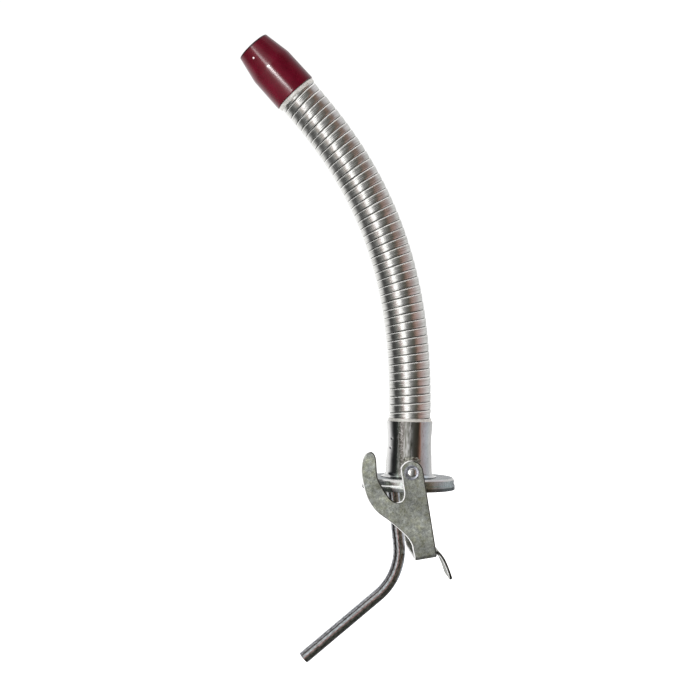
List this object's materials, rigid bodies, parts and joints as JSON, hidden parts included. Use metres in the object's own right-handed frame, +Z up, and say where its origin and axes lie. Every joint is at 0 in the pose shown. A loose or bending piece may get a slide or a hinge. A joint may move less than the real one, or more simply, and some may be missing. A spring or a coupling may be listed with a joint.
{
  "type": "pouring spout",
  "caption": "Flexible metal pouring spout for a fuel can: sealing cap, cam-lever clamp, bent breather tube, stripwound hose and tapered red outlet tip.",
  "frame": {"origin": "centre of the gasket's sealing face, on the collar's axis", "axes": "+Z up the collar away from the can, -X the way the hose leans, -Y the front lever plate"},
  "size_m": [0.1444, 0.0728, 0.4056],
  "materials": {
    "plated_steel": "bright plated steel",
    "galvanised_strip": "bright galvanised strip",
    "zinc_lever": "dull mottled zinc",
    "tarnished_tube": "glossy tarnished steel",
    "red_tip": "glossy maroon",
    "black_rubber": "matt rubber",
    "braze": "rough braze"
  },
  "bodies": {
    "base": {"cap": "plated_steel", "gasket": "black_rubber", "inlet_plate": "plated_steel", "collar": "plated_steel", "breather_tube": "tarnished_tube", "breather_bead": "braze", "pivot_stud_front": "plated_steel", "pivot_stud_rear": "plated_steel", "pivot_washer_front": "plated_steel", "pivot_washer_rear": "plated_steel", "hose_link_01": "galvanised_strip"},
    "lever": {"lever": "zinc_lever"},
    "hose_02": {"hose_link_02": "galvanised_strip"},
    "hose_03": {"hose_link_03": "galvanised_strip"},
    "hose_04": {"hose_link_04": "galvanised_strip"},
    "hose_05": {"hose_link_05": "galvanised_strip"},
    "hose_06": {"hose_link_06": "galvanised_strip"},
    "hose_07": {"hose_link_07": "galvanised_strip"},
    "hose_08": {"hose_link_08": "galvanised_strip"},
    "hose_09": {"hose_link_09": "galvanised_strip"},
    "hose_10": {"hose_link_10": "galvanised_strip"},
    "hose_11": {"hose_link_11": "galvanised_strip"},
    "hose_12": {"hose_link_12": "galvanised_strip"},
    "hose_13": {"hose_link_13": "galvanised_strip"},
    "outlet": {"hose_link_14": "galvanised_strip", "tip_ring": "plated_steel", "outlet_tip": "red_tip"}
  },
  "joints": [
    {"name": "lever_hinge", "type": "hinge", "parent": "base", "child": "lever", "pos_m": [-0.0012, 0, 0.0112], "axis": [0, -1, 0], "range_deg": [-3, 130]},
    {"name": "hose_bend_01", "type": "hinge", "parent": "base", "child": "hose_02", "pos_m": [-0.00003, 0, 0.048], "axis": [0, -1, 0], "range_deg": [-6, 3.5]},
    {"name": "hose_sway_01", "type": "hinge", "parent": "hose_02", "child": "hose_03", "pos_m": [-0.00048, 0, 0.06619], "axis": [0.999, 0, 0.0443], "range_deg": [-5, 5]},
    {"name": "hose_bend_02", "type": "hinge", "parent": "hose_03", "child": "hose_04", "pos_m": [-0.00164, 0, 0.08435], "axis": [0, -1, 0], "range_deg": [-6, 3.5]},
    {"name": "hose_sway_02", "type": "hinge", "parent": "hose_04", "child": "hose_05", "pos_m": [-0.00368, 0, 0.10244], "axis": [0.9901, 0, 0.1406], "range_deg": [-5, 5]},
    {"name": "hose_bend_03", "type": "hinge", "parent": "hose_05", "child": "hose_06", "pos_m": [-0.00677, 0, 0.12047], "axis": [0, -1, 0], "range_deg": [-6, 3.5]},
    {"name": "hose_sway_03", "type": "hinge", "parent": "hose_06", "child": "hose_07", "pos_m": [-0.01099, 0, 0.13817], "axis": [0.9641, 0, 0.2656], "range_deg": [-5, 5]},
    {"name": "hose_bend_04", "type": "hinge", "parent": "hose_07", "child": "hose_08", "pos_m": [-0.01643, 0, 0.15554], "axis": [0, -1, 0], "range_deg": [-6, 3.5]},
    {"name": "hose_sway_04", "type": "hinge", "parent": "hose_08", "child": "hose_09", "pos_m": [-0.02312, 0, 0.17246], "axis": [0.9156, 0, 0.402], "range_deg": [-5, 5]},
    {"name": "hose_bend_05", "type": "hinge", "parent": "hose_09", "child": "hose_10", "pos_m": [-0.03105, 0, 0.18884], "axis": [0, -1, 0], "range_deg": [-6, 3.5]},
    {"name": "hose_sway_05", "type": "hinge", "parent": "hose_10", "child": "hose_11", "pos_m": [-0.04022, 0, 0.20467], "axis": [0.8472, 0, 0.5313], "range_deg": [-5, 5]},
    {"name": "hose_bend_06", "type": "hinge", "parent": "hose_11", "child": "hose_12", "pos_m": [-0.05042, 0, 0.21973], "axis": [0, -1, 0], "range_deg": [-6, 3.5]},
    {"name": "hose_sway_06", "type": "hinge", "parent": "hose_12", "child": "hose_13", "pos_m": [-0.06158, 0, 0.23411], "axis": [0.7723, 0, 0.6352], "range_deg": [-5, 5]},
    {"name": "hose_bend_07", "type": "hinge", "parent": "hose_13", "child": "outlet", "pos_m": [-0.07354, 0, 0.24783], "axis": [0, -1, 0], "range_deg": [-6, 3.5]}
  ],
  "couplings": [
    {"joint": "hose_bend_02", "follows": "hose_bend_01", "ratio": 1},
    {"joint": "hose_sway_02", "follows": "hose_sway_01", "ratio": 1},
    {"joint": "hose_bend_03", "follows": "hose_bend_01", "ratio": 1},
    {"joint": "hose_sway_03", "follows": "hose_sway_01", "ratio": 1},
    {"joint": "hose_bend_04", "follows": "hose_bend_01", "ratio": 1},
    {"joint": "hose_sway_04", "follows": "hose_sway_01", "ratio": 1},
    {"joint": "hose_bend_05", "follows": "hose_bend_01", "ratio": 1},
    {"joint": "hose_sway_05", "follows": "hose_sway_01", "ratio": 1},
    {"joint": "hose_bend_06", "follows": "hose_bend_01", "ratio": 1},
    {"joint": "hose_sway_06", "follows": "hose_sway_01", "ratio": 1},
    {"joint": "hose_bend_07", "follows": "hose_bend_01", "ratio": 1}
  ]
}
